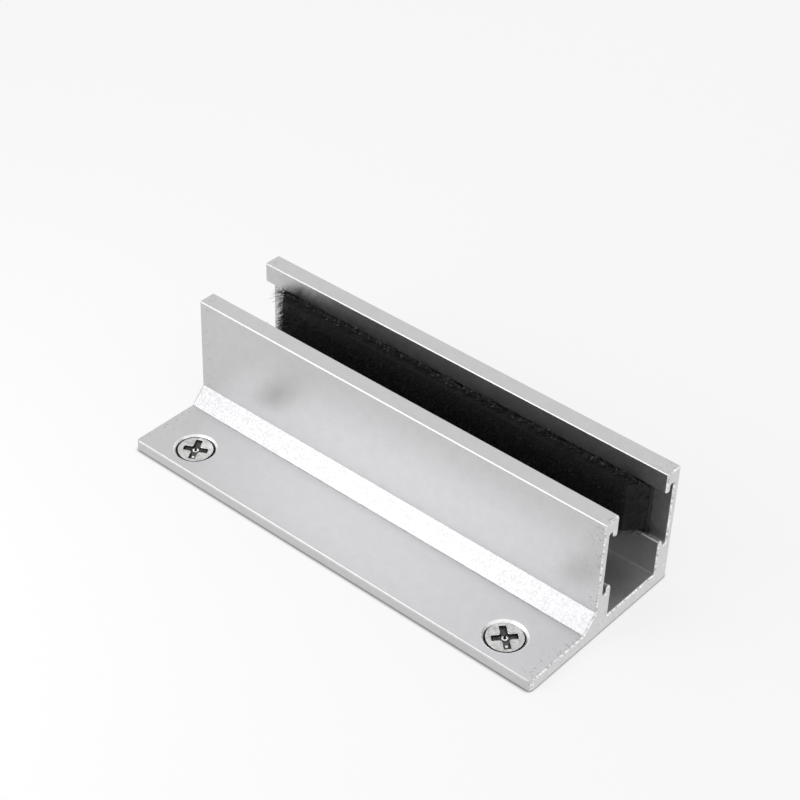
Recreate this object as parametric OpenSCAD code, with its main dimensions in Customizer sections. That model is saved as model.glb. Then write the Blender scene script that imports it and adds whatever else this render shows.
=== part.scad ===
// Floor guide for a sliding glass door. One aluminium extrusion makes a channel and a
// screw flange. A brush strip slides into a slot in each channel wall and steadies the
// glass, and two countersunk screws hold the flange to the floor.
// X runs along the channel, Y from the flange to the rear wall, and Z is up. The origin
// is on the underside, at mid length, on the centreline of the glass.

/* [Extrusion] */
// Length of the guide
guide_l = 100; // [60:1:240]
// Height of the walls above the floor
guide_h = 26.7; // [24:0.1:36]
// Width of the screw flange, from its edge to the front wall
flange_w = 18.8; // [16:0.1:40]
// Thickness of the screw flange
flange_t = 2.5; // [2.4:0.1:4]
// Leg of the sloping gusset between the flange and the front wall
gusset_leg = 3.2; // [1:0.1:4.5]
// Radius that breaks the long outer edges
edge_r = 0.3; // [0.1:0.05:0.5]
// Radius of the lower rear edge
heel_r = 1; // [0.3:0.1:2]

/* [Channel] */
// Clear width between the walls
channel_w = 14.9; // [13:0.1:24]
// Thickness of the web under the glass
web_t = 2.8; // [2:0.1:4]
// Thickness of each wall where it is solid
wall_t = 3.9; // [3.6:0.1:6]

/* [Brush slots] */
// Wall left behind each slot
skin_t = 1.45; // [1:0.05:1.8]
// Thickness of the lips that hold a brush in
lip_t = 1.2; // [0.8:0.05:1.5]
// Height of solid wall above each slot
cap_h = 3; // [2:0.1:5]
// Height of each slot, behind its lips
slot_h = 14.7; // [12:0.1:16]
// Length of the upper lip, down from the slot's ceiling
upper_lip = 1.6; // [1:0.1:2.5]
// Length of the lower lip, up from the slot's floor
lower_lip = 1.5; // [1:0.1:2.5]

/* [Brushes] */
// How far each brush strip stops short of the ends of the guide
brush_short = 4; // [0:0.5:8]
// Gap round the backing in its slot
backing_gap = 0.1; // [0.05:0.05:0.2]
// Gap between the pile and the lips
pile_gap = 0.15; // [0.1:0.05:0.4]
// How far the free pile stands past the lips
pile_reach = 3.6; // [2.8:0.1:5]
// How far the pile spreads up and down past the lips
pile_splay = 0.5; // [0:0.1:1]
// Spacing of the tufts along the guide
tuft_pitch = 1.6; // [1.4:0.1:5]
// Rows of tufts up the pile
tuft_rows = 6; // [3:1:7]
// Depth of the grooves between tufts
tuft_depth = 1.3; // [0.5:0.1:2]
// Difference between the longest and the shortest tufts
tuft_vary = 0.5; // [0:0.1:0.8]

/* [Screws] */
// Distance from each end of the guide to its screw
screw_end = 10.6; // [7:0.1:25]
// Distance from the flange's edge to the screws
screw_edge = 6.2; // [5.5:0.1:9]
// Diameter of a screw head
head_d = 7.2; // [6.8:0.1:7.6]
// Height of the straight rim round a screw head
head_rim = 0.3; // [0.1:0.05:0.4]
// Depth of the heads below the flange's face
head_sink = 0.38; // [0.1:0.02:0.5]
// Gap between a head's cone and its countersink
seat_gap = 0.05; // [0.02:0.01:0.1]
// Outside diameter of the thread
thread_d = 3.9; // [3.5:0.1:4.5]
// Diameter of the plain neck under the head
neck_d = 3; // [2.6:0.1:3.4]
// Length of the plain neck
neck_l = 0.5; // [0.2:0.1:3]
// Gap between the thread and the hole that it passes
hole_gap = 0.2; // [0.1:0.05:0.4]
// Length of a screw, from the top of its head to its tip
screw_l = 25; // [16:1:50]
// Length of the point
point_l = 5; // [3:0.5:7]
// Width across opposite wings of the cross recess
recess_w = 5.1; // [4:0.1:5.6]
// Thickness of a wing of the cross recess
recess_t = 1.1; // [0.8:0.05:1.4]
// Depth of the cross recess
recess_h = 1.6; // [1:0.1:2]
// Turn of the left screw's recess
left_turn = 21; // [0:1:89]
// Turn of the right screw's recess
right_turn = 55; // [0:1:89]

/* [Hidden] */
$fn = 48;

metal_colour = [0.78, 0.79, 0.80];
screw_colour = [0.70, 0.70, 0.69];
backing_colour = [0.16, 0.16, 0.17];
pile_colour = [0.07, 0.07, 0.07];

// How far a cut runs past the face it opens, and pieces of one solid run into each other
past = 1;

// Faces of the walls, out from the centreline of the glass
lip_y = channel_w / 2;
groove_y = lip_y + lip_t;
outer_y = lip_y + wall_t;
slot_y = outer_y - skin_t;
flange_y = outer_y + flange_w;

// Levels of the slots and of the opening between their lips
slot_top = guide_h - cap_h;
slot_floor = slot_top - slot_h;
open_top = slot_top - upper_lip;
open_floor = slot_floor + lower_lip;

// Length of a brush strip, its faces out from the centreline, and the levels of its pile
brush_l = guide_l - 2 * brush_short;
backing_in = groove_y + backing_gap;
backing_out = slot_y - backing_gap;
pile_tip = lip_y - pile_reach;
pile_top = open_top - pile_gap;
pile_floor = open_floor + pile_gap;
tip_clip = 0.6;

// Levels of a screw, and the countersink that takes its cone
head_z = flange_t - head_sink;
cone_z = head_z - head_rim;
neck_z = cone_z - (head_d - neck_d) / 2;
thread_z = neck_z - neck_l;
tip_z = head_z - screw_l;
point_z = tip_z + point_l;
tip_d = 0.6;
hole_r = thread_d / 2 + hole_gap;
sink_r = head_d / 2 + head_rim + head_sink + seat_gap * sqrt(2);
screw_x = guide_l / 2 - screw_end;
screw_y = screw_edge - flange_y;

// Rounds the corner of a section at p; sx and sy point from the corner into the metal
module corner_cut(p, sx, sy, r) {
    translate(p)
        scale([sx, sy])
            difference() {
                translate([-past, -past]) square(past + r);
                translate([r, r]) circle(r = r);
            }
}

// One wall, on the side of positive y, with its slot and round-nosed lips
module wall_section() {
    nose_r = lip_t / 2;
    opening_w = past + lip_t + (slot_y - groove_y) / 2;
    difference() {
        translate([lip_y, 0]) square([wall_t, guide_h]);
        translate([groove_y, slot_floor]) square([slot_y - groove_y, slot_h]);
        translate([lip_y - past, open_floor - nose_r])
            square([opening_w, open_top - open_floor + 2 * nose_r]);
        corner_cut([lip_y, guide_h], 1, -1, edge_r);
        corner_cut([outer_y, guide_h], -1, -1, edge_r);
    }
    for (z = [open_floor - nose_r, open_top + nose_r])
        translate([lip_y + nose_r, z]) circle(r = nose_r);
}

// Section of the extrusion, drawn with the guide's Y as x and its Z as y
module guide_section() {
    difference() {
        union() {
            wall_section();
            mirror([1, 0]) wall_section();
            translate([-lip_y - past, 0]) square([channel_w + 2 * past, web_t]);
            translate([-flange_y, 0]) square([flange_w + past, flange_t]);
            polygon([
                [-outer_y - gusset_leg, flange_t],
                [-outer_y - gusset_leg, flange_t - past],
                [-outer_y + past, flange_t - past],
                [-outer_y + past, flange_t + gusset_leg],
                [-outer_y, flange_t + gusset_leg]
            ]);
        }
        corner_cut([-flange_y, 0], 1, 1, edge_r);
        corner_cut([-flange_y, flange_t], 1, -1, edge_r);
        corner_cut([outer_y, 0], -1, 1, heel_r);
    }
}

// Lays a section along the guide, from end to end
module along_guide(length) {
    rotate([90, 0, 90])
        linear_extrude(height = length, center = true) children();
}

// Clearance hole and countersink for one screw
module screw_hole() {
    translate([0, 0, -past]) cylinder(h = flange_t + 2 * past, r = hole_r);
    translate([0, 0, flange_t - sink_r]) cylinder(h = sink_r + past, r1 = 0, r2 = sink_r + past);
}

module guide_extrusion() {
    color(metal_colour)
        difference() {
            along_guide(guide_l) guide_section();
            for (x = [-screw_x, screw_x])
                translate([x, screw_y, 0]) screw_hole();
        }
}

// Flat backing of the brush strip in the wall at positive y
module backing() {
    color(backing_colour)
        along_guide(brush_l)
            translate([backing_in, slot_floor + backing_gap])
                square([backing_out - backing_in, slot_h - 2 * backing_gap]);
}

// Shares a stretch into equal tufts and gives the outline of their tips: a groove
// between each two, and a tip whose distance from the pile's front is given by short()
function tips(count, low, high, short) = [
    for (i = [0 : 2 * count])
        let (at = low + (high - low) * i / (2 * count), tuft = (i - 1) / 2)
            [at, pile_tip + (i % 2 == 0 ? tuft_depth + tuft_vary : short(tuft))]
];

// Plan of the pile: a row of tufts of slightly unequal length, along the guide
module pile_plan() {
    golden_angle = 137.5;
    count = round(brush_l / tuft_pitch);
    uneven = function (tuft) tuft_vary * (1 + sin(tuft * golden_angle)) / 2;
    polygon(concat(
        tips(count, -brush_l / 2, brush_l / 2, uneven),
        [[brush_l / 2, backing_in], [-brush_l / 2, backing_in]]
    ));
}

// End view of the pile: rows that fan out past the lips, with the middle rows longest
module pile_end() {
    fan = function (tuft) tip_clip * pow(2 * tuft / (tuft_rows - 1) - 1, 2);
    rows = tips(tuft_rows, pile_floor - pile_splay, pile_top + pile_splay, fan);
    fan_y = lip_y - pile_gap;
    polygon(concat(
        [for (tip = rows) [tip.y, tip.x]],
        [
            [fan_y, pile_top],
            [backing_in, pile_top],
            [backing_in, pile_floor],
            [fan_y, pile_floor]
        ]
    ));
}

// Pile of the brush strip in the wall at positive y: tufts where plan and end view cross
module pile() {
    color(pile_colour)
        intersection() {
            translate([0, 0, pile_floor - pile_splay - past])
                linear_extrude(height = pile_top - pile_floor + 2 * (pile_splay + past)) pile_plan();
            along_guide(brush_l + 2 * past) pile_end();
        }
}

// Tapered cross recess, cut down from the origin
module cross_recess() {
    floor_w = recess_w - 1.6 * recess_h;
    for (turn = [0, 90])
        rotate([90, 0, turn])
            linear_extrude(height = recess_t, center = true)
                polygon([
                    [-recess_w / 2, past],
                    [-recess_w / 2, 0],
                    [-floor_w / 2, -recess_h],
                    [floor_w / 2, -recess_h],
                    [recess_w / 2, 0],
                    [recess_w / 2, past]
                ]);
}

// Countersunk self-tapping screw on the Z axis, at its height in the flange
module screw(turn) {
    color(screw_colour)
        difference() {
            rotate_extrude()
                polygon([
                    [0, head_z],
                    [head_d / 2, head_z],
                    [head_d / 2, cone_z],
                    [neck_d / 2, neck_z],
                    [neck_d / 2, thread_z],
                    [thread_d / 2, thread_z],
                    [thread_d / 2, point_z],
                    [tip_d / 2, tip_z],
                    [0, tip_z]
                ]);
            translate([0, 0, head_z]) rotate([0, 0, turn]) cross_recess();
        }
}

module front_brush_backing() {
    mirror([0, 1, 0]) backing();
}

module front_brush_pile() {
    mirror([0, 1, 0]) pile();
}

module rear_brush_backing() {
    backing();
}

module rear_brush_pile() {
    pile();
}

module left_screw() {
    translate([-screw_x, screw_y, 0]) screw(left_turn);
}

module right_screw() {
    translate([screw_x, screw_y, 0]) screw(right_turn);
}

guide_extrusion();
front_brush_backing();
front_brush_pile();
rear_brush_backing();
rear_brush_pile();
left_screw();
right_screw();
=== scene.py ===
import math
import random

import bmesh
import bpy
from mathutils import Matrix, Vector


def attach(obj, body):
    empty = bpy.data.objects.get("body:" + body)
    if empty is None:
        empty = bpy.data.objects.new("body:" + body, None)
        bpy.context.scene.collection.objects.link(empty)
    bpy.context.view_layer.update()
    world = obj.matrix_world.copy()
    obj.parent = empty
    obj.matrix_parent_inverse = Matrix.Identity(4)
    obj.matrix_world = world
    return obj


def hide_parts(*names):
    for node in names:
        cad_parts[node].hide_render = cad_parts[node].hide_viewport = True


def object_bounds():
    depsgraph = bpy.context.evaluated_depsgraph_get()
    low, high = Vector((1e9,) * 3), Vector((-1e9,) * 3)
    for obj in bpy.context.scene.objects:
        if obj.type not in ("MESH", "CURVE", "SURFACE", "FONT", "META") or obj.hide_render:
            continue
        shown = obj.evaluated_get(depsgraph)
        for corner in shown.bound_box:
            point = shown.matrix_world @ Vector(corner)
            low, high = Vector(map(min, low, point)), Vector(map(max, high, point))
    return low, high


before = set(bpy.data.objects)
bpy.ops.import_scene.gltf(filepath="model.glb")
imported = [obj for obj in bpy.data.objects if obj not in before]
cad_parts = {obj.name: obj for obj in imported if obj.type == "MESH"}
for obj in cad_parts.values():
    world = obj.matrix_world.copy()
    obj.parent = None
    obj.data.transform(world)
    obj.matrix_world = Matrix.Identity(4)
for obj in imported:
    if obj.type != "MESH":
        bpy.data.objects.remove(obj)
cadLow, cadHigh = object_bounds()

# Lengths are in millimetres and angles in degrees, unless a note says otherwise
mm = 0.001
touch = 0.01  # faces this close to a plane count as lying in it
endX = cadHigh.x / mm  # the guide is centred on X = 0, so its two ends are at plus and minus this
wavePerUnit = math.pi / 10  # a wave texture of scale 1 repeats at this distance

# Camera, as the photograph was taken
cameraView = {
    "position": (188.3, -236.0, 251.5),
    "azimuth": 39.59,
    "elevation": 37.31,
    "roll": 2.16,
    "lens": 89.55,
    "sensor": 36.0,
}


def placeCamera(view):
    data = bpy.data.cameras.new("camera")
    data.lens = view["lens"]
    data.sensor_width = view["sensor"]
    data.clip_start = 0.01
    camera = bpy.data.objects.new("camera", data)
    bpy.context.scene.collection.objects.link(camera)
    turn = (
        Matrix.Rotation(math.radians(view["azimuth"]), 4, "Z")
        @ Matrix.Rotation(math.radians(90 - view["elevation"]), 4, "X")
        @ Matrix.Rotation(math.radians(view["roll"]), 4, "Z")
    )
    camera.matrix_world = Matrix.Translation(Vector(view["position"]) * mm) @ turn
    bpy.context.scene.camera = camera


placeCamera(cameraView)
print("camera placed")


# Colours and node helpers
def linear(hexColour):  # sRGB hex to the linear colour that the shaders use
    channels = [int(hexColour[i : i + 2], 16) / 255 for i in (1, 3, 5)]
    return [c / 12.92 if c <= 0.04045 else ((c + 0.055) / 1.055) ** 2.4 for c in channels] + [1]


def newMaterial(name):
    material = bpy.data.materials.new(name)
    material.use_nodes = True
    material.node_tree.nodes.clear()
    return material, material.node_tree


def addNode(tree, kind, settings=None, links=None):
    node = tree.nodes.new(kind)
    for name, value in (settings or {}).items():
        if isinstance(name, str) and name not in node.inputs:
            setattr(node, name, value)
        else:
            node.inputs[name].default_value = value
    for name, source in (links or {}).items():
        tree.links.new(source, node.inputs[name])
    return node


# The end of every metal's tree: its bump, its shader and the output
def finishMetal(tree, colour, rough, height, depth):
    bump = addNode(
        tree, "ShaderNodeBump", {"Strength": 1.0, "Distance": depth * mm}, {"Height": height}
    ).outputs["Normal"]
    shader = addNode(
        tree,
        "ShaderNodeBsdfPrincipled",
        {"Metallic": 1.0},
        {"Base Color": colour, "Roughness": rough, "Normal": bump},
    )
    addNode(tree, "ShaderNodeOutputMaterial", None, {"Surface": shader.outputs[0]})


# Anodised aluminium, blasted before anodising: a soft neutral grey with a fine even grain that
# glitters where the light is strong, and no brush marks. Handling has scuffed it near the ends.
anodisedAluminium = {
    "light": "#CBCBCC",
    "dark": "#C2C2C3",
    "spread": 0.18,  # of the noise on either side of its middle, from the dark colour to the light
    "roughness": (0.3, 0.36),
    "grain": 0.36,  # between the pits; real ones are about 0.1 mm apart and too fine to show
    "grainDepth": 0.006,
    "cloud": 2.4,  # across the faint patches in the anodising
    "cloudShare": 0.35,
    "scuff": {"colour": "#A2A2A3", "reach": 5.0, "spot": 0.55},  # reach: how far in from the ends
}

# Inside the channel the anodising is duller, and a little darker as painted shade
channelAluminium = {
    "light": "#CBCBCC",
    "dark": "#BABABB",
    "spread": 0.18,
    "roughness": (0.37, 0.45),
    "grain": 0.36,
    "grainDepth": 0.015,
    "cloud": 2.0,
    "cloudShare": 0.4,
}

# The slope where the wall meets the flange was blasted harder: rougher, and it glitters in flecks
coarseAluminium = {
    "light": "#D6D6D7",
    "dark": "#ACACAE",
    "spread": 0.16,
    "roughness": (0.38, 0.54),
    "grain": 0.45,
    "grainDepth": 0.04,
    "cloud": 1.4,
    "cloudShare": 0.15,
}

# The inner corner under that slope is painted darker: a thin line of painted shade
cornerShadeAluminium = {
    "light": "#B4B4B5",
    "dark": "#8A8A8C",
    "spread": 0.1,
    "roughness": (0.4, 0.5),
    "grain": 0.4,
    "grainDepth": 0.02,
    "cloud": 1.5,
    "cloudShare": 0.6,
}

# The countersinks were cut after anodising, so they are bare, bright and finely marked
machinedAluminium = {
    "light": "#FFFFFF",
    "dark": "#E4E4E5",
    "spread": 0.18,
    "roughness": (0.2, 0.32),
    "grain": 0.4,
    "grainDepth": 0.02,
    "cloud": 0.9,
    "cloudShare": 0.5,
}

# The bare aluminium where the saw went through: paler and plain, with faint curved marks
sawnAluminium = {
    "light": "#EAEBEA",
    "dark": "#D2D3D3",
    "spread": 0.18,
    "roughness": (0.4, 0.55),
    "grain": 0.4,
    "grainDepth": 0.02,
    "cloud": 1.2,
    "cloudShare": 0.3,
    "sawSpacing": 3.77,  # between the marks; real ones are under 1 mm apart and too fine to show
}

# Its filed edges: bare bright metal, uneven from the file
filedAluminium = {
    "light": "#FFFFFF",
    "dark": "#B4B5B7",
    "spread": 0.12,
    "roughness": (0.15, 0.3),
    "grain": 0.5,
    "grainDepth": 0.03,
    "cloud": 0.7,
    "cloudShare": 0.7,
}

# Low down in a countersink, round the screw's head: painted shade of the gap, dark grey to black
gapShadeAluminium = {
    "light": "#6E6E6D",
    "dark": "#1D1D1D",
    "spread": 0.18,
    "roughness": (0.5, 0.7),
    "grain": 0.3,
    "grainDepth": 0.03,
    "cloud": 0.9,
    "cloudShare": 0.5,
}


def makeAluminium(name, look):
    material, tree = newMaterial(name)
    place = addNode(tree, "ShaderNodeTexCoord").outputs["Object"]
    pits = addNode(
        tree,
        "ShaderNodeTexNoise",
        {"Scale": 1 / (look["grain"] * mm), "Detail": 2.0, "Roughness": 0.6},
        {"Vector": place},
    ).outputs["Fac"]
    cloud = addNode(
        tree,
        "ShaderNodeTexNoise",
        {"Scale": 1 / (look["cloud"] * mm), "Detail": 2.0},
        {"Vector": place},
    ).outputs["Fac"]
    mixed = addNode(
        tree, "ShaderNodeMix", {"data_type": "FLOAT", 0: look["cloudShare"]}, {2: pits, 3: cloud}
    ).outputs[0]
    tint = addNode(
        tree,
        "ShaderNodeMapRange",
        {"From Min": 0.5 - look["spread"], "From Max": 0.5 + look["spread"]},
        {"Value": mixed},
    ).outputs["Result"]
    colour = addNode(
        tree,
        "ShaderNodeMix",
        {"data_type": "RGBA", 6: linear(look["dark"]), 7: linear(look["light"])},
        {0: tint},
    ).outputs[2]
    if "scuff" in look:
        colour = addScuffs(tree, place, cloud, colour, look["scuff"])
    low, high = look["roughness"]
    rough = addNode(
        tree,
        "ShaderNodeMapRange",
        {"From Min": 0.3, "From Max": 0.7, "To Min": low, "To Max": high},
        {"Value": pits},
    ).outputs["Result"]
    height = pits
    if "sawSpacing" in look:
        blade = addNode(
            tree,
            "ShaderNodeTexWave",
            {
                "wave_type": "RINGS",
                "rings_direction": "X",
                "Scale": wavePerUnit / (look["sawSpacing"] * mm),
                "Distortion": 1.5,
                "Detail": 2.0,
            },
            {"Vector": place},
        ).outputs["Fac"]
        height = addNode(
            tree, "ShaderNodeMath", {"operation": "MULTIPLY_ADD", 1: 0.4}, {0: blade, 2: pits}
        ).outputs[0]
    finishMetal(tree, colour, rough, height, look["grainDepth"])
    return material


# Small dark spots in patches, more of them towards the cut ends
def addScuffs(tree, place, cloud, colour, scuff):
    alongX = addNode(tree, "ShaderNodeSeparateXYZ", None, {"Vector": place}).outputs["X"]
    fromMiddle = addNode(tree, "ShaderNodeMath", {"operation": "ABSOLUTE"}, {0: alongX}).outputs[0]
    near = addNode(
        tree,
        "ShaderNodeMapRange",
        {"From Min": (endX - scuff["reach"]) * mm, "From Max": endX * mm},
        {"Value": fromMiddle},
    ).outputs["Result"]
    spots = addNode(
        tree,
        "ShaderNodeTexNoise",
        {"Scale": 1 / (scuff["spot"] * mm), "Detail": 3.0},
        {"Vector": place},
    ).outputs["Fac"]
    share = near
    for noise, fewer, more in ((cloud, 0.4, 0.6), (spots, 0.54, 0.66)):
        kept = addNode(
            tree, "ShaderNodeMapRange", {"From Min": fewer, "From Max": more}, {"Value": noise}
        ).outputs["Result"]
        share = addNode(
            tree, "ShaderNodeMath", {"operation": "MULTIPLY"}, {0: share, 1: kept}
        ).outputs[0]
    return addNode(
        tree,
        "ShaderNodeMix",
        {"data_type": "RGBA", 7: linear(scuff["colour"])},
        {0: share, 6: colour},
    ).outputs[2]


# Mesh helpers
def makeMesh(name, points, faces, materials):
    mesh = bpy.data.meshes.new(name)
    mesh.from_pydata([[c * mm for c in p] for p in points], [], faces)
    mesh.validate()
    for material in materials:
        mesh.materials.append(material)
    piece = bpy.data.objects.new(name, mesh)
    bpy.context.scene.collection.objects.link(piece)
    return piece


def turnOutward(piece):
    shape = bmesh.new()
    shape.from_mesh(piece.data)
    bmesh.ops.recalc_face_normals(shape, faces=shape.faces)
    shape.to_mesh(piece.data)
    shape.free()


# Outward normals, smooth shading, and flat faces that stay flat beside their rounds
def finishMesh(piece):
    turnOutward(piece)
    piece.data.shade_smooth()
    piece.data.set_sharp_from_angle(angle=math.radians(40))
    weighted = piece.modifiers.new("weighted normals", "WEIGHTED_NORMAL")
    weighted.keep_sharp = True
    weighted.weight = 100


def applyModifiers(piece):
    graph = bpy.context.evaluated_depsgraph_get()
    done = bpy.data.meshes.new_from_object(piece.evaluated_get(graph))
    old = piece.data
    piece.modifiers.clear()
    piece.data = done
    bpy.data.meshes.remove(old)


def cutAway(piece, cutter):
    cut = piece.modifiers.new("cut", "BOOLEAN")
    cut.operation = "DIFFERENCE"
    cut.solver = "MANIFOLD"
    cut.object = cutter
    applyModifiers(piece)
    bpy.data.objects.remove(cutter)


# Points and faces of a closed solid turned about Z from (radius, height) pairs, whose first and
# last lie on the axis
def revolve(profile, steps):
    points, faces = [(0, 0, profile[0][1])], []
    rings = profile[1:-1]
    for radius, height in rings:
        for i in range(steps):
            angle = 2 * math.pi * i / steps
            points.append((radius * math.cos(angle), radius * math.sin(angle), height))
    points.append((0, 0, profile[-1][1]))
    last = len(points) - 1
    for i in range(steps):
        j = (i + 1) % steps
        faces.append((0, 1 + j, 1 + i))
        faces.append((last, last - steps + i, last - steps + j))
        for ring in range(len(rings) - 1):
            a = 1 + ring * steps
            faces.append((a + i, a + j, a + steps + j, a + steps + i))
    return points, faces


# Faces of a closed skin over rings of as many points each, first the two that close its ends
def skinFaces(ringCount, count):
    faces = [tuple(range(count))[::-1], tuple(range((ringCount - 1) * count, ringCount * count))]
    for a in range(0, (ringCount - 1) * count, count):
        for i in range(count):
            j = (i + 1) % count
            faces.append((a + i, a + j, a + count + j, a + count + i))
    return faces


# The extrusion. Its section is drawn in Y and Z, with a radius at each corner.
guide = {
    "lipY": 7.45,  # inner face of each wall, from the middle of the channel
    "grooveY": 8.65,
    "slotY": 9.9,
    "outerY": 11.35,
    "flangeY": 30.15,
    "height": 26.7,
    "web": 2.8,
    "flange": 2.5,
    "gusset": (3.2, 3.5),  # how far the slope reaches out along Y and up the wall
    "slotFloor": 9.0,
    "slotTop": 23.7,
    "openFloor": 10.5,
    "openTop": 22.1,
    "edgeRadius": 0.38,
    "bevel": (0.17, 0.46),  # the flange's top front edge is bevelled, back along Y and down
    "bevelRadius": 0.2,
    "toeRadius": 0.3,  # its bottom front edge
    "cornerRadius": 0.8,  # in plan, at the flange's two free corners
    "cornerSteps": 4,
    "cornerDepth": 0.5,  # what lies this close to the flange's front edge draws back at a corner
    "noseRadius": 0.59,  # the lips end in a full round
    "innerRadius": 0.15,
    "heelRadius": 1.0,
    "gussetRadius": 0.12,
    "footRadius": 0.35,  # where the slope runs into the flange
    "slopeLean": (0.1, 0.75, 0.99),  # normal.z at which the slope, its foot and level faces start
    "cutEdge": 0.25,  # the cut ends are filed off by this much
    "unfiled": 1.0,  # but not at the underside, up to this height
    "gapShadeLevel": {"left_screw": 2.13, "right_screw": 1.85},  # countersinks are painted dark below these, as painted shade of the gap
    "arcSteps": 5,
}


# Corners of the channel side of one wall, from its foot to its top, on the side of positive Y
def wallOutline(g):
    nose, inner = g["noseRadius"], g["innerRadius"]
    return [
        (g["lipY"], g["web"], inner),
        (g["lipY"], g["openFloor"], nose),
        (g["grooveY"], g["openFloor"], nose),
        (g["grooveY"], g["slotFloor"], inner),
        (g["slotY"], g["slotFloor"], inner),
        (g["slotY"], g["slotTop"], inner),
        (g["grooveY"], g["slotTop"], inner),
        (g["grooveY"], g["openTop"], nose),
        (g["lipY"], g["openTop"], nose),
        (g["lipY"], g["height"], g["edgeRadius"]),
    ]


def guideCorners(g):
    wall = wallOutline(g)
    edge = g["edgeRadius"]
    back, down = g["bevel"]
    out, up = g["gusset"]
    rear = [
        (-g["flangeY"], 0, g["toeRadius"]),
        (g["outerY"], 0, g["heelRadius"]),
        (g["outerY"], g["height"], edge),
    ]
    front = [
        (-g["outerY"], g["height"], edge),
        (-g["outerY"], g["flange"] + up, g["gussetRadius"]),
        (-g["outerY"] - out, g["flange"], g["footRadius"]),
        (-g["flangeY"] + back, g["flange"], g["bevelRadius"]),
        (-g["flangeY"], g["flange"] - down, g["bevelRadius"]),
    ]
    return rear + wall[::-1] + [(-y, z, radius) for y, z, radius in wall] + front


# Turns (y, z, radius) corners, in order round the solid with it on their left, into an outline
# with an arc at each. The inset moves the whole outline into the solid.
def roundOff(corners, steps, inset=0):
    outline = []
    for i, (y, z, radius) in enumerate(corners):
        corner = Vector((y, z))
        before = (Vector(corners[i - 1][:2]) - corner).normalized()
        after = (Vector(corners[(i + 1) % len(corners)][:2]) - corner).normalized()
        half = before.angle(after) / 2
        middle = corner + (before + after).normalized() * (radius / math.sin(half))
        start = corner + before * (radius / math.tan(half)) - middle
        outside = before.x * after.y < before.y * after.x  # an outer corner, not an inner one
        sweep = (math.pi - 2 * half) * (1 if outside else -1)
        start *= 1 - inset / radius if outside else 1 + inset / radius
        for k in range(steps + 1):
            outline.append(middle + Matrix.Rotation(sweep * k / steps, 2) @ start)
    return outline


screw = {
    "x": 39.4,  # each side of mid length
    "y": -23.95,
    "headRadius": 3.6,
    "headTop": 2.12,
    "faceRadius": {"left_screw": 3.49, "right_screw": 3.54},  # the flat of the head, inside its rim
    "faceRise": (0.06, 0.18),  # of all of it, then of its high side; its low side sinks as much
    "highSide": 39.59,  # the heads tilt: they are high this far round from +Y towards -X, and the ring at the centre of each cross is painted in shade on this side
    "faceEdge": (0.4, 0.03),  # it rounds over: this share of the way to the rim, this far down
    "rim": 0.3,
    "neckRadius": 1.5,
    "neckEnd": -0.78,
    "neckStep": 0.1,  # the neck narrows to the core over this length
    "coreRadius": 1.4,
    "threadRadius": 1.95,
    "pitch": 1.35,
    "ridge": (0.3, 0.12),  # half the width of the thread's foot, and how far it is sunk in the core
    "ridgeEnds": (0.4, 0.8),  # the thread stops this far from the neck and from the tip
    "pointTop": -17.88,
    "tip": -22.88,
    "tipRadius": (0.12, 0.02),  # just above the tip, and at it
    "holeRadius": 2.15,
    "sinkRadius": 4.35,
    "sinkBreak": 0.07,  # the countersink's rim is broken by this much
    # levels of the cross recess: depth, reach of its wings, half their thickness, fillet between
    # them, and the finish up to the level above. Round levels make the ring at its centre. The
    # black and dull finishes paint the recess's shade, and the bright ones its highlights.
    "recess": [
        (0, 2.57, 0.7, 0.5, "tumbled"),
        (0.06, 2.5, 0.67, 0.48, "bright"),
        (0.42, 2.32, 0.6, 0.44, "black"),
        (0.5, 2.15, 0.53, 0.42, "black"),
        (0.54, 1.95, 0.48, 0.4, "dull"),
        (0.54, 1.65, 0.47, 0.4, "dull"),
        (0.54, 1.15, 0.46, 0.38, "dull"),
        (0.54, 0.7, 0, 0, "dull"),
        (0.28, 0.61, 0, 0, "bright"),
        (0.22, 0.46, 0, 0, "bright"),
        (0.28, 0.3, 0, 0, "bright"),
        (1.4, 0.26, 0, 0, "black"),
    ],
    "longer": 0.4,  # two of the four wings reach this much further
    "wingBulge": 0.05,  # their ends are this much longer at their middle than at their corners
    "turns": {"left_screw": 28.5, "right_screw": 48.5},  # of each cross
    "sides": {"left_screw": -1, "right_screw": 1},  # of mid length, on which each stands
}


# Cutter for one clearance hole and its countersink
def countersink(x, y, shadeLevel):
    top, rim = guide["flange"], screw["sinkRadius"]
    hole, broken = screw["holeRadius"], screw["sinkBreak"]
    profile = [
        (0, -1),
        (hole, -1),
        (hole, top - rim + hole),
        # a corner at this height splits off the faces below it, which get the gap's painted shade
        (rim - top + shadeLevel, shadeLevel),
        (rim - broken, top - broken),
        (rim + broken, top + broken / 3),
        (rim + broken, top + 1),
        (0, top + 1),
    ]
    points, faces = revolve(profile, 128)
    cutter = makeMesh("cutter", [(px + x, py + y, pz) for px, py, pz in points], faces, [])
    finishMesh(cutter)
    applyModifiers(cutter)
    return cutter


guideFinishes = {
    "anodised": makeAluminium("satin anodised extruded aluminium", anodisedAluminium),
    "sawn": makeAluminium("aluminium, sawn", sawnAluminium),
    "filed": makeAluminium("aluminium, filed edge", filedAluminium),
    "gapShade": makeAluminium("aluminium, countersink with painted shade", gapShadeAluminium),
    "machined": makeAluminium("aluminium, machined countersink", machinedAluminium),
    "coarse": makeAluminium("anodised aluminium, coarsely blasted", coarseAluminium),
    "corner": makeAluminium("anodised aluminium, corner with painted shade", cornerShadeAluminium),
    "channel": makeAluminium("anodised aluminium, inside the channel", channelAluminium),
}


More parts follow.
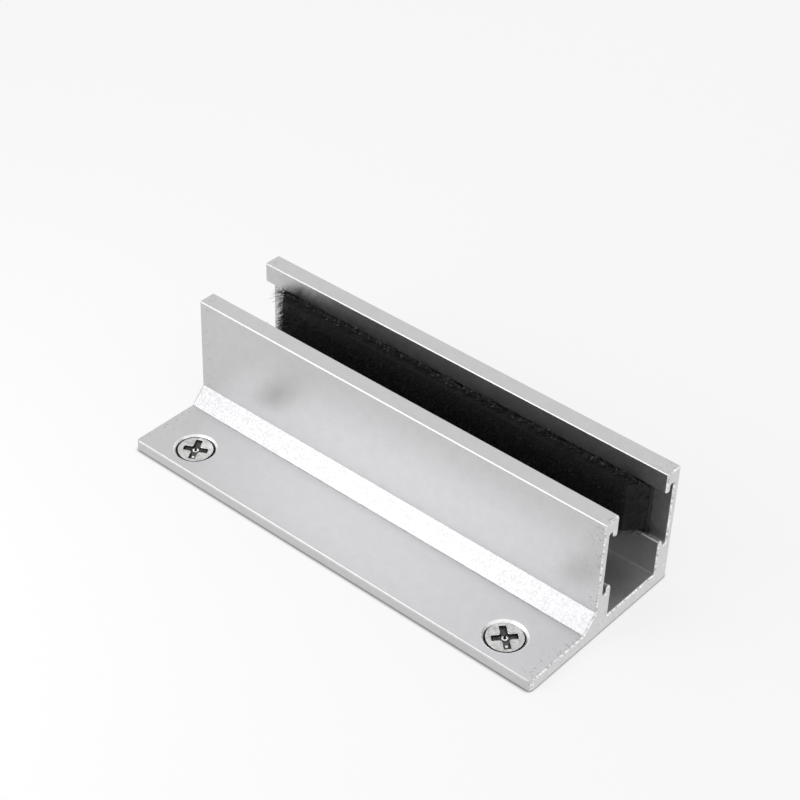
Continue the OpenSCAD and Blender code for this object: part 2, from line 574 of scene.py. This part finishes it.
# The finish of one face of the extrusion, from where it is and how it leans
def finishOf(face, g):
    middle, lean = face.center / mm, face.normal.z
    if abs(middle.x) > endX - touch and abs(face.normal.x) > 0.99:
        return "sawn"
    if abs(middle.x) > endX - g["cutEdge"]:
        return "filed"
    fromHole = math.hypot(abs(middle.x) - screw["x"], middle.y - screw["y"])
    if fromHole < screw["sinkRadius"] and 0.05 < middle.z < g["flange"] - touch:
        node = "left_screw" if middle.x < 0 else "right_screw"
        # below its level the countersink is painted dark: painted shade of the gap round the head
        return "gapShade" if middle.z < g["gapShadeLevel"][node] else "machined"
    slope, footOfSlope, level = g["slopeLean"]
    footY = g["outerY"] + g["gusset"][0] + g["footRadius"] / 2
    sloping = slope < lean < level and middle.z < g["height"] / 2
    if sloping and -footY < middle.y < -g["outerY"]:
        # the foot of the slope is painted darker there, as painted shade of the inner corner
        return "corner" if lean > footOfSlope else "coarse"
    if abs(middle.y) < g["slotY"] + touch and 0.1 < middle.z < g["height"] - g["edgeRadius"]:
        return "channel"
    return "anodised"


def makeGuide(g):
    edge, corner, steps = g["cutEdge"], g["cornerRadius"], g["cornerSteps"]

    # How far the flange's front edge draws back at its rounded corner, this far in from the end
    def drawBack(short):
        return corner - math.sqrt(corner**2 - (corner - short) ** 2)

    # how far in from an end each section lies, how much smaller it is, and how far its front
    # draws back
    ends = [(0, edge, corner), (edge, 0, drawBack(edge))]
    for k in range(1, steps + 1):
        short = edge + (corner - edge) * k / steps
        ends.append((short, 0, drawBack(short)))
    sections = [(short - endX, inset, back) for short, inset, back in ends]
    sections += [(-x, inset, back) for x, inset, back in sections[::-1]]
    corners = guideCorners(g)
    points = []
    for x, inset, back in sections:
        for p in roundOff(corners, g["arcSteps"], inset):
            y = p.x + (back if p.x < -g["flangeY"] + g["cornerDepth"] else 0)
            points.append((x, y, p.y - inset * max(0, g["unfiled"] + inset - p.y)))
    faces = skinFaces(len(sections), len(points) // len(sections))
    piece = makeMesh("channel_and_flange", points, faces, [])
    for node, side in screw["sides"].items():
        cutAway(piece, countersink(side * screw["x"], screw["y"], g["gapShadeLevel"][node]))
    piece.data.materials.clear()  # the cuts leave an empty slot
    for finish in guideFinishes.values():
        piece.data.materials.append(finish)
    order = list(guideFinishes)
    for face in piece.data.polygons:
        face.material_index = order.index(finishOf(face, g))
    finishMesh(piece)
    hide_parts("guide_extrusion")
    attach(piece, "root")


makeGuide(guide)
print("extrusion made")


# Screws: zinc-plated steel, machine tumbled, so the heads are a neutral grey with soft small marks
zincPlatedSteel = {
    "light": "#E4E4E3",
    "dark": "#A6A6A5",
    "roughness": (0.2, 0.34),
    "scratch": 0.8,  # between the tumbling marks
    "markDepth": 0.008,
}

# Under the rim and on the steep walls of the cross the steel is painted black: painted shade of the
# gap round the head and of the recess
gapShadeZinc = {
    "light": "#3C3C3B",
    "dark": "#0E0E0E",
    "roughness": (0.45, 0.65),
    "scratch": 0.4,
    "markDepth": 0.02,
}

# The floor of the cross: uneven dark grey, painted shade of the recess
recessShadeZinc = {
    "light": "#767674",
    "dark": "#161616",
    "roughness": (0.4, 0.6),
    "scratch": 0.5,
    "markDepth": 0.03,
}

# Almost white: painted highlights on the recess's top edge, on the ring at its centre and in a spot
# of one wing
highlightZinc = {
    "light": "#FFFFFF",
    "dark": "#DCDCDB",
    "roughness": (0.15, 0.3),
    "scratch": 0.5,
    "markDepth": 0.01,
}


def makeZinc(name, look):
    material, tree = newMaterial(name)
    place = addNode(tree, "ShaderNodeTexCoord").outputs["Object"]
    marks = addNode(
        tree,
        "ShaderNodeTexNoise",
        {"Scale": 1 / (look["scratch"] * mm), "Detail": 6.0, "Roughness": 0.65, "Distortion": 0.6},
        {"Vector": place},
    ).outputs["Fac"]
    tint = addNode(
        tree, "ShaderNodeMapRange", {"From Min": 0.3, "From Max": 0.7}, {"Value": marks}
    ).outputs["Result"]
    colour = addNode(
        tree,
        "ShaderNodeMix",
        {"data_type": "RGBA", 6: linear(look["dark"]), 7: linear(look["light"])},
        {0: tint},
    ).outputs[2]
    low, high = look["roughness"]
    rough = addNode(
        tree, "ShaderNodeMapRange", {"To Min": low, "To Max": high}, {"Value": tint}
    ).outputs["Result"]
    finishMetal(tree, colour, rough, marks, look["markDepth"])
    return material


screwFinishes = {
    "tumbled": makeZinc("zinc-plated steel, tumbled", zincPlatedSteel),
    "black": makeZinc("zinc-plated steel, painted shade", gapShadeZinc),
    "dull": makeZinc("zinc-plated steel, painted recess shade", recessShadeZinc),
    "bright": makeZinc("zinc-plated steel, painted highlight", highlightZinc),
}


# One ring of a screw's skin: a circle, or a cross with fillets between its wings. Both have 96
# points and start at the same corner of the first wing.
def circleRing(radius, z, turn):
    steps = 96
    angles = [2 * math.pi * (i - 2) / steps + math.radians(turn) for i in range(steps)]
    return [(radius * math.cos(a), radius * math.sin(a), z) for a in angles]


def crossRing(reach, half, fillet, z, turn):
    side = half + fillet
    wings = (reach, reach + screw["longer"])
    ring = []
    for i in range(4):
        own, other = wings if i % 2 == 0 else wings[::-1]
        # the end of a wing, its side, the fillet and the side of the next wing
        quarter = []
        for across in (-1, -0.5, 0, 0.5, 1):
            quarter.append((own - screw["wingBulge"] * across**2, half * across))
        quarter += [(own + (side - own) * k / 6, half) for k in range(1, 6)]
        for k in range(9):
            angle = math.radians(270 - 90 * k / 8)
            quarter.append((side + fillet * math.cos(angle), side + fillet * math.sin(angle)))
        quarter += [(half, side + (other - side) * k / 6) for k in range(1, 6)]
        spin = Matrix.Rotation(math.radians(90 * i + turn), 2)
        ring += [spin @ Vector(p) for p in quarter]
    return [(p.x, p.y, z) for p in ring]


# Points and faces of a helical ridge that runs out at the neck and follows the point to its tip
def threadRidge(s):
    steps = 40
    ridgeHalf, sunk = s["ridge"]
    fromNeck, fromTip = s["ridgeEnds"]
    length = s["neckEnd"] - s["tip"] - fromNeck - fromTip
    total = int(steps * length / s["pitch"])
    points, faces = [], []
    for i in range(total + 1):
        z = s["neckEnd"] - fromNeck - length * i / total
        taper = min(1, max(0.05, (z - s["tip"]) / (s["pointTop"] - s["tip"])))
        runOut = min(1, i / steps, (total - i) / (steps / 2))
        core = s["coreRadius"] * taper
        foot = core - sunk * taper
        crest = core + (s["threadRadius"] - s["coreRadius"]) * runOut * min(1, taper * 1.6)
        angle = 2 * math.pi * i / steps
        for radius, rise in ((foot, ridgeHalf), (crest, 0), (foot, -ridgeHalf)):
            points.append((radius * math.cos(angle), radius * math.sin(angle), z + rise))
    for i in range(total):
        a = 3 * i
        for k in range(3):
            m = (k + 1) % 3
            faces.append((a + k, a + m, a + 3 + m, a + 3 + k))
    faces.append((0, 1, 2))
    faces.append((3 * total + 2, 3 * total + 1, 3 * total))
    return points, faces


# The skin runs from the foot of the recess up, over the head and down to the tip
def makeScrew(node, side, s):
    turn = s["turns"][node]
    rise, tilt = s["faceRise"]
    top, head, face = s["headTop"] + rise, s["headRadius"], s["faceRadius"][node]
    edgeShare, edgeDrop = s["faceEdge"]
    underHead = s["headTop"] - s["rim"]
    blunt, tipRadius = s["tipRadius"]
    bearing = math.radians(s["highSide"])
    uphill = Vector((-math.sin(bearing), math.cos(bearing)))
    levels = s["recess"][::-1]
    # radius, height and the finish that follows, from the head's face outwards and down
    outside = [
        (face, top, "tumbled"),
        # the outer part of the rim's round and the underside are painted black, as painted shade of
        # the gap
        (face + edgeShare * (head - face), top - edgeDrop, "black"),
        (head, underHead, "black"),
        (s["neckRadius"], underHead - head + s["neckRadius"], "tumbled"),
        (s["neckRadius"], s["neckEnd"], "tumbled"),
        (s["coreRadius"], s["neckEnd"] - s["neckStep"], "tumbled"),
        (s["coreRadius"], s["pointTop"], "tumbled"),
        (blunt, s["tip"] + blunt, "tumbled"),
        (tipRadius, s["tip"], "tumbled"),
    ]
    rings, bands = [], []
    for depth, reach, half, fillet, finish in levels:
        if half:
            rings.append(crossRing(reach, half, fillet, top - depth, turn))
        else:
            rings.append(circleRing(reach, top - depth, turn))
        bands.append(finish)
    for radius, z, finish in outside:
        rings.append(circleRing(radius, z, turn))
        bands.append(finish)
    for k in range(len(levels) + 2):  # the recess and the face tilt together
        rings[k] = [(px, py, pz + tilt * uphill.dot((px, py)) / head) for px, py, pz in rings[k]]
    points = [p for ring in rings for p in ring]
    count = len(rings[0])
    rounds = sum(half == 0 for _, _, half, _, _ in levels)
    frontWing = (3 * count // 4 + 1, 3 * count // 4 + 2)
    order = list(screwFinishes)
    shades = [order.index(bands[0]), order.index(bands[-1])]
    for k in range(len(rings) - 1):
        for i in range(count):
            finish = bands[k]
            # the ring at the centre is painted black on the head's high side, as painted shade, and
            # a painted highlight lies near the end of the front wing
            if k < rounds - 1 and uphill.dot(Vector(rings[k + 1][i][:2]).normalized()) > 0.8:
                finish = "black"
            elif k == rounds and i in frontWing:
                finish = "bright"
            shades.append(order.index(finish))
    piece = makeMesh(node + "_turned", points, skinFaces(len(rings), count), screwFinishes.values())
    piece.data.polygons.foreach_set("material_index", shades)
    ridge = makeMesh("ridge", *threadRidge(s), screwFinishes.values())
    shape = bmesh.new()
    shape.from_mesh(piece.data)
    shape.from_mesh(ridge.data)
    shape.to_mesh(piece.data)
    shape.free()
    bpy.data.objects.remove(ridge)
    piece.data.transform(Matrix.Translation(Vector((side * s["x"], s["y"], 0)) * mm))
    finishMesh(piece)
    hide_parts(node)
    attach(piece, "root")


for node, side in screw["sides"].items():
    makeScrew(node, side, screw)
print("screws made")


# Brushes. The pile is cut polypropylene yarn, woven into its backing in rows of tufts.
brush = {
    "halfLength": 46.0,  # each strip stops 4 mm short of the guide's ends
    "root": 8.75,  # face of the backing, from the middle of the channel
    "lip": 7.45,
    "reach": 3.6,
    "low": 10.65,
    "high": 21.95,
    "spread": (-0.6, 2.3),  # how far the lowest and the highest strands fan out past the lips
    "shorter": (0.3, 1.5),  # and how much less far these reach
    "fan": (0.85, 1.15),  # least and most of that spread, from tuft to tuft
    "tuftX": 0.92,
    "tuftRows": 6,
    "fibre": 0.1,  # drawn three times as thick as the yarn's filaments, so that they show
    "perTuft": (14, 18, 22),  # strands of a tuft in the lowest row, the middle ones, the highest
    "uneven": (0.4, 0.18),  # how much shorter a tuft may be, and, as a spread, a strand of it
    "lean": (0.12, 0.3),  # of a tuft along X, as a spread, and outwards at the ends
    "loose": (0.07, 0.3, 0.12),  # spread of a tip, spread of a loose one, and the share of these
    "clumps": (0.9, 0.35, 1.5),  # where on the way to the upper lip, how narrow and how thick
    "fray": 3.0,  # the pile is thin and uneven this far from its ends
    "left": 0.3,  # share of its strands, and of their reach, that is left at the very ends
    "strays": 110,  # more of them towards one end
    "strayFibre": 0.06,
    "core": 1.3,  # the solid heart of the pile ends this far behind its tips
    "coreInset": 0.25,
}

# Cut pile of dull black yarn. Its colour holds painted light and shade: the tips are painted pale
# grey, and the roots and the heart are painted the deepest black.
polypropylenePile = {"deep": "#040404", "tip": "#191B19", "pale": "#868C89", "roughness": 0.62}


def makePileMaterial(name, look):
    material, tree = newMaterial(name)
    shade = addNode(tree, "ShaderNodeAttribute", {"attribute_name": "shade"}).outputs["Fac"]
    ramp = addNode(tree, "ShaderNodeValToRGB", None, {"Fac": shade})
    stops = ramp.color_ramp.elements
    stops[0].position, stops[0].color = 0.0, linear(look["deep"])
    stops[1].position, stops[1].color = 1.0, linear(look["pale"])
    middle = stops.new(0.6)
    middle.color = linear(look["tip"])
    shader = addNode(
        tree,
        "ShaderNodeBsdfPrincipled",
        {
            "Roughness": look["roughness"],
            "Specular IOR Level": 0.3,
            "Sheen Weight": 0.15,
            "Sheen Roughness": 0.5,
        },
        {"Base Color": ramp.outputs["Color"]},
    )
    addNode(tree, "ShaderNodeOutputMaterial", None, {"Surface": shader.outputs[0]})
    return material


# Points, faces and a shade for each point of the pile on one side
def growPile(side, seed, b):
    draw = random.Random(seed)
    points, faces, shades = [], [], []
    halfLength, lip, rows = b["halfLength"], b["lip"], b["tuftRows"]
    middleZ, halfHeight = (b["low"] + b["high"]) / 2, (b["high"] - b["low"]) / 2
    rowHeight = (b["high"] - b["low"]) / rows
    columns = round(2 * halfLength / b["tuftX"])
    shorten, ragged = b["uneven"]
    tuftLean, endLean = b["lean"]
    tight, wild, wildShare = b["loose"]
    clumpFrom, clumpWidth, clumpThick = b["clumps"]

    # A three-sided strand along its path, as a rule thinner at its tip, painted paler at its tip
    # and darker towards its root as painted light and shade
    def addFibre(path, thick, shade, rootShade, thinning=0.55):
        first = len(points)
        spin = draw.random()
        for k, (x, y, z) in enumerate(path):
            share = k / (len(path) - 1)
            radius = thick / 2 * (1 - thinning * share)
            for corner in range(3):
                angle = 2 * math.pi * (corner / 3 + spin)
                across, up = radius * math.cos(angle), radius * math.sin(angle)
                points.append((x + across, side * y, z + up))
                shades.append(shade * (rootShade + (1 - rootShade) * share**3))
        for k in range(len(path) - 1):
            a = first + 3 * k
            for corner in range(3):
                m = (corner + 1) % 3
                faces.append((a + corner, a + m, a + 3 + m, a + 3 + corner))
        faces.append((first + 2, first + 1, first))
        end = len(points) - 3
        faces.append((end, end + 1, end + 2))

    def addTuft(row, tuftX):
        kind = 0 if row == 0 else 2 if row == rows - 1 else 1
        rowZ = b["low"] + rowHeight * (row + 0.5)
        whole = min(1, (halfLength - abs(tuftX)) / b["fray"])  # 0 at the ends, 1 past the fray
        kept = b["left"] + (1 - b["left"]) * whole
        fullReach = b["reach"] * kept - shorten * draw.random()
        lean = draw.gauss(0, tuftLean) + math.copysign(endLean * (1 - whole) ** 2, tuftX)
        fan, lift = draw.uniform(*b["fan"]), draw.gauss(0, 0.12)
        paleness = draw.uniform(0.5, 1)
        for _ in range(b["perTuft"][kind]):
            dx, dz = draw.uniform(-0.5, 0.5) * b["tuftX"], draw.uniform(-0.5, 0.5) * rowHeight
            loose = wild if draw.random() < wildShare else tight
            x, z = tuftX + dx, rowZ + dz
            outward = (z - middleZ) / halfHeight  # -1 at the lower lip and 1 at the upper one
            above = outward > 0
            reach = fullReach - b["shorter"][above] * outward**4 * fullReach / b["reach"]
            tipY = lip - reach + abs(draw.gauss(0, ragged))
            tipX = x + lean - 0.4 * dx + draw.gauss(0, loose)
            rise = b["spread"][above] * abs(outward) ** 3 * fan * whole + lift
            tipZ = z + rise + draw.gauss(0, loose)
            shade = draw.random()
            top = outward > clumpFrom
            if top:  # these gather again to small clumps
                tipX = tuftX + lean + clumpWidth * dx + draw.gauss(0, 0.04)
            if draw.random() > kept:
                continue  # missing near the ends
            if kind == 1 and whole == 1:  # only the last stretch of these shows
                startY = lip - b["reach"] + b["core"] + 0.4
                bend = ((x + tipX) / 2, (startY + tipY) / 2, z + 0.6 * (tipZ - z))
                path = [(x, startY, z), bend, (tipX, tipY, tipZ)]
                addFibre(path, b["fibre"], shade**3 * paleness, 0.4)
                continue
            z = max(b["low"], min(b["high"] - 0.05, z))
            path = [(x, b["root"], z), (x, lip, z)]
            for along, up in ((0.35, 0.4), (0.75, 0.85), (1, 1)):
                bendX, bendY = x + (tipX - x) * along**2, lip + (tipY - lip) * along
                path.append((bendX, bendY, z + (tipZ - z) * up))
            if kind < 2:
                del path[3]  # the highest row alone needs this bend
            if top:
                # the clumps along the top are painted paler: painted light from above
                thick, pale = clumpThick * b["fibre"], (0.8 + 0.5 * shade) * paleness
                addFibre(path, thick, pale, 0.0, 0.2)
            else:
                addFibre(path, b["fibre"], shade**3 * paleness, 0.0)

    # A loose strand that stands off the top of the pile, or now and then off one of its ends
    def addStray():
        x, drift = halfLength * (2 * draw.random() ** 2 - 1), draw.gauss(0, 0.8)
        low = 0.6
        if draw.random() < 0.2:
            end = -1 if draw.random() < 0.6 else 1
            x = end * (halfLength - abs(draw.gauss(0, 1.2)))
            drift = end * draw.uniform(-0.3, 1.3)
            low = 4
        z = b["high"] - 0.05 - draw.random() ** 2 * low
        lift, reach = abs(draw.gauss(0, 0.8)), b["reach"] * draw.uniform(0.3, 0.8)
        path = []
        for k in range(6):
            t = k / 5
            curl = lift * math.sin(t * math.pi * 0.7)
            path.append((x + drift * t * t, lip - reach * t, z + curl))
        # loose strands are painted paler than the pile: painted light
        addFibre(path, b["strayFibre"], 0.5 + 0.5 * draw.random(), 0.4)

    # The packed heart of the pile, which the strands hide, painted the deepest black as painted
    # shade
    def addHeart():
        inset = b["coreInset"]
        low, high = b["low"] + inset, b["high"] - inset
        front, back = lip - b["reach"] + b["core"], b["root"]
        first = len(points)
        for end in (-1, 1):
            for y, z in ((back, low), (back, high), (front, high), (front, low)):
                short = inset if y == back else b["fray"]
                points.append((end * (halfLength - short), side * y, z))
                shades.append(0.0)
        for k in range(4):
            m = (k + 1) % 4
            faces.append((first + k, first + m, first + 4 + m, first + 4 + k))
        faces.append((first + 3, first + 2, first + 1, first))
        faces.append((first + 4, first + 5, first + 6, first + 7))

    for row in range(rows):
        for column in range(columns):
            addTuft(row, -halfLength + 2 * halfLength * (column + 0.5) / columns)
    for _ in range(b["strays"]):
        addStray()
    addHeart()
    return points, faces, shades


def makePile(node, side, seed, finish):
    points, faces, shades = growPile(side, seed, brush)
    piece = makeMesh(node.replace("_pile", "_fibres"), points, faces, [finish])
    attribute = piece.data.attributes.new("shade", "FLOAT", "POINT")
    attribute.data.foreach_set("value", shades)
    turnOutward(piece)
    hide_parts(node)
    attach(piece, "root")
    print(node, len(faces), "faces")


pile = makePileMaterial("cut polypropylene pile, black", polypropylenePile)
for node, side, seed in (("front_brush_pile", -1, 11), ("rear_brush_pile", 1, 23)):
    makePile(node, side, seed, pile)

# Backing: flat woven polypropylene tape, sealed on its back. It shows only in the slots' ends.
wovenBacking = {"colour": "#1B1B1C", "roughness": 0.7, "thread": 0.4, "threadDepth": 0.04}


def makeBackingMaterial(name, look):
    material, tree = newMaterial(name)
    place = addNode(tree, "ShaderNodeTexCoord").outputs["Object"]
    scale = wavePerUnit / (look["thread"] * mm)
    waves = [
        addNode(
            tree,
            "ShaderNodeTexWave",
            {"wave_type": "BANDS", "bands_direction": axis, "Scale": scale},
            {"Vector": place},
        ).outputs["Fac"]
        for axis in ("X", "Z")
    ]
    weave = addNode(
        tree, "ShaderNodeMath", {"operation": "MULTIPLY"}, {0: waves[0], 1: waves[1]}
    ).outputs[0]
    bump = addNode(
        tree,
        "ShaderNodeBump",
        {"Strength": 1.0, "Distance": look["threadDepth"] * mm},
        {"Height": weave},
    ).outputs["Normal"]
    shader = addNode(
        tree,
        "ShaderNodeBsdfPrincipled",
        {"Base Color": linear(look["colour"]), "Roughness": look["roughness"], "IOR": 1.49},
        {"Normal": bump},
    )
    addNode(tree, "ShaderNodeOutputMaterial", None, {"Surface": shader.outputs[0]})
    return material


backing = makeBackingMaterial("woven polypropylene tape", wovenBacking)
for node in ("front_brush_backing", "rear_brush_backing"):
    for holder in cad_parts[node].material_slots:
        holder.material = backing
print("brushes made")


# Floor, light and world
studio = {
    "floorHalf": 1.5,  # m
    "floor": "#EEEEEE",
    "floorGlow": 0.74,  # share of the floor's look that is plain white to the camera
    "foot": "#9A9A9A",  # painted contact shadow: the paper's colour right against the guide
    "contact": 0.9,  # the painted contact shadow reaches this far from the guide, so that its foot stands dark
    "contactFade": (0.55, 0.95),  # openness at which it is darkest, and at which it is plain
    "contactMirrored": 0.3,  # openness added in reflections, so that the painted shadow is weaker there and the edge above stays light
    "contactEnds": (0.3, 0.2),  # beyond the ends the painted shadow fades: over this distance, this openness is added
    "fill": 0.8,  # what the world gives to matt surfaces
    "lamps": {
        # name: (direction it stands in, distance in m, length along X and height in m, watts)
        "strip light": ((-0.36, -0.67, 0.56), 0.21, (0.17, 0.12), 0.118),
        "low reflector": ((-0.36, -0.67, 0.13), 0.2, (0.16, 0.04), 0.042),
    },
}


# 1 for what the camera sees, straight, in a reflection or through something clear, and 0 for the
# light that falls on matt surfaces
def seenDirectly(tree):
    path = addNode(tree, "ShaderNodeLightPath").outputs
    first = addNode(
        tree,
        "ShaderNodeMath",
        {"operation": "ADD"},
        {0: path["Is Camera Ray"], 1: path["Is Glossy Ray"]},
    ).outputs[0]
    return addNode(
        tree,
        "ShaderNodeMath",
        {"operation": "ADD", "use_clamp": True},
        {0: first, 1: path["Is Transmission Ray"]},
    ).outputs[0]


# White paper that glows to the camera, with a painted contact shadow right against the guide
def makeFloor(s):
    half = s["floorHalf"]
    mesh = bpy.data.meshes.new("floor")
    square = [(-half, -half, 0), (half, -half, 0), (half, half, 0), (-half, half, 0)]
    mesh.from_pydata(square, [], [(0, 1, 2, 3)])
    floor = bpy.data.objects.new("floor", mesh)
    bpy.context.scene.collection.objects.link(floor)
    material, tree = newMaterial("white paper floor")
    mesh.materials.append(material)

    openness = addNode(
        tree, "ShaderNodeAmbientOcclusion", {"samples": 8, "Distance": s["contact"] * mm}
    ).outputs["AO"]
    mirrored = addNode(tree, "ShaderNodeLightPath").outputs["Is Glossy Ray"]
    openness = addNode(
        tree,
        "ShaderNodeMath",
        {"operation": "MULTIPLY_ADD", 1: s["contactMirrored"]},
        {0: mirrored, 2: openness},
    ).outputs[0]
    place = addNode(tree, "ShaderNodeTexCoord").outputs["Object"]
    alongX = addNode(tree, "ShaderNodeSeparateXYZ", None, {"Vector": place}).outputs["X"]
    over, added = s["contactEnds"]
    beyond = addNode(
        tree,
        "ShaderNodeMapRange",
        {"From Min": endX * mm, "From Max": (endX + over) * mm, "To Max": added},
        {"Value": alongX},
    ).outputs["Result"]
    openness = addNode(
        tree, "ShaderNodeMath", {"operation": "ADD"}, {0: openness, 1: beyond}
    ).outputs[0]
    darkest, plain = s["contactFade"]
    clear = addNode(
        tree, "ShaderNodeMapRange", {"From Min": darkest, "From Max": plain}, {"Value": openness}
    ).outputs["Result"]

    colour = addNode(
        tree,
        "ShaderNodeMix",
        {"data_type": "RGBA", 6: linear(s["foot"]), 7: linear(s["floor"])},
        {0: clear},
    ).outputs[2]
    matt = addNode(tree, "ShaderNodeBsdfDiffuse", None, {"Color": colour}).outputs[0]
    glow = addNode(
        tree, "ShaderNodeEmission", {"Color": (1, 1, 1, 1), "Strength": 1.0}
    ).outputs[0]
    share = addNode(
        tree, "ShaderNodeMath", {"operation": "MULTIPLY"}, {0: seenDirectly(tree), 1: clear}
    ).outputs[0]
    share = addNode(
        tree, "ShaderNodeMath", {"operation": "MULTIPLY", 1: s["floorGlow"]}, {0: share}
    ).outputs[0]
    mixed = addNode(tree, "ShaderNodeMixShader", None, {0: share, 1: matt, 2: glow}).outputs[0]
    addNode(tree, "ShaderNodeOutputMaterial", None, {"Surface": mixed})


def makeWorld(s):
    world = bpy.data.worlds.new("white studio")
    world.use_nodes = True
    tree = world.node_tree
    tree.nodes.clear()
    strength = addNode(
        tree,
        "ShaderNodeMapRange",
        {"To Min": s["fill"], "To Max": 1.0},
        {"Value": seenDirectly(tree)},
    ).outputs["Result"]
    sky = addNode(
        tree, "ShaderNodeBackground", {"Color": (1, 1, 1, 1)}, {"Strength": strength}
    ).outputs[0]
    addNode(tree, "ShaderNodeOutputWorld", None, {"Surface": sky})
    bpy.context.scene.world = world


def hangLamp(name, direction, distance, size, watts):
    lamp = bpy.data.lights.new(name, "AREA")
    lamp.shape = "RECTANGLE"
    lamp.size, lamp.size_y = size
    lamp.energy = watts
    holder = bpy.data.objects.new(name, lamp)
    holder.visible_camera = False
    bpy.context.scene.collection.objects.link(holder)
    toLamp = Vector(direction).normalized()
    facing = toLamp.to_track_quat("Z", "Y").to_matrix().to_4x4()
    holder.matrix_world = Matrix.Translation(toLamp * distance) @ facing


makeFloor(studio)
makeWorld(studio)
for name, lamp in studio["lamps"].items():
    hangLamp(name, *lamp)
bpy.context.scene.view_settings.view_transform = "Standard"
print("studio made")
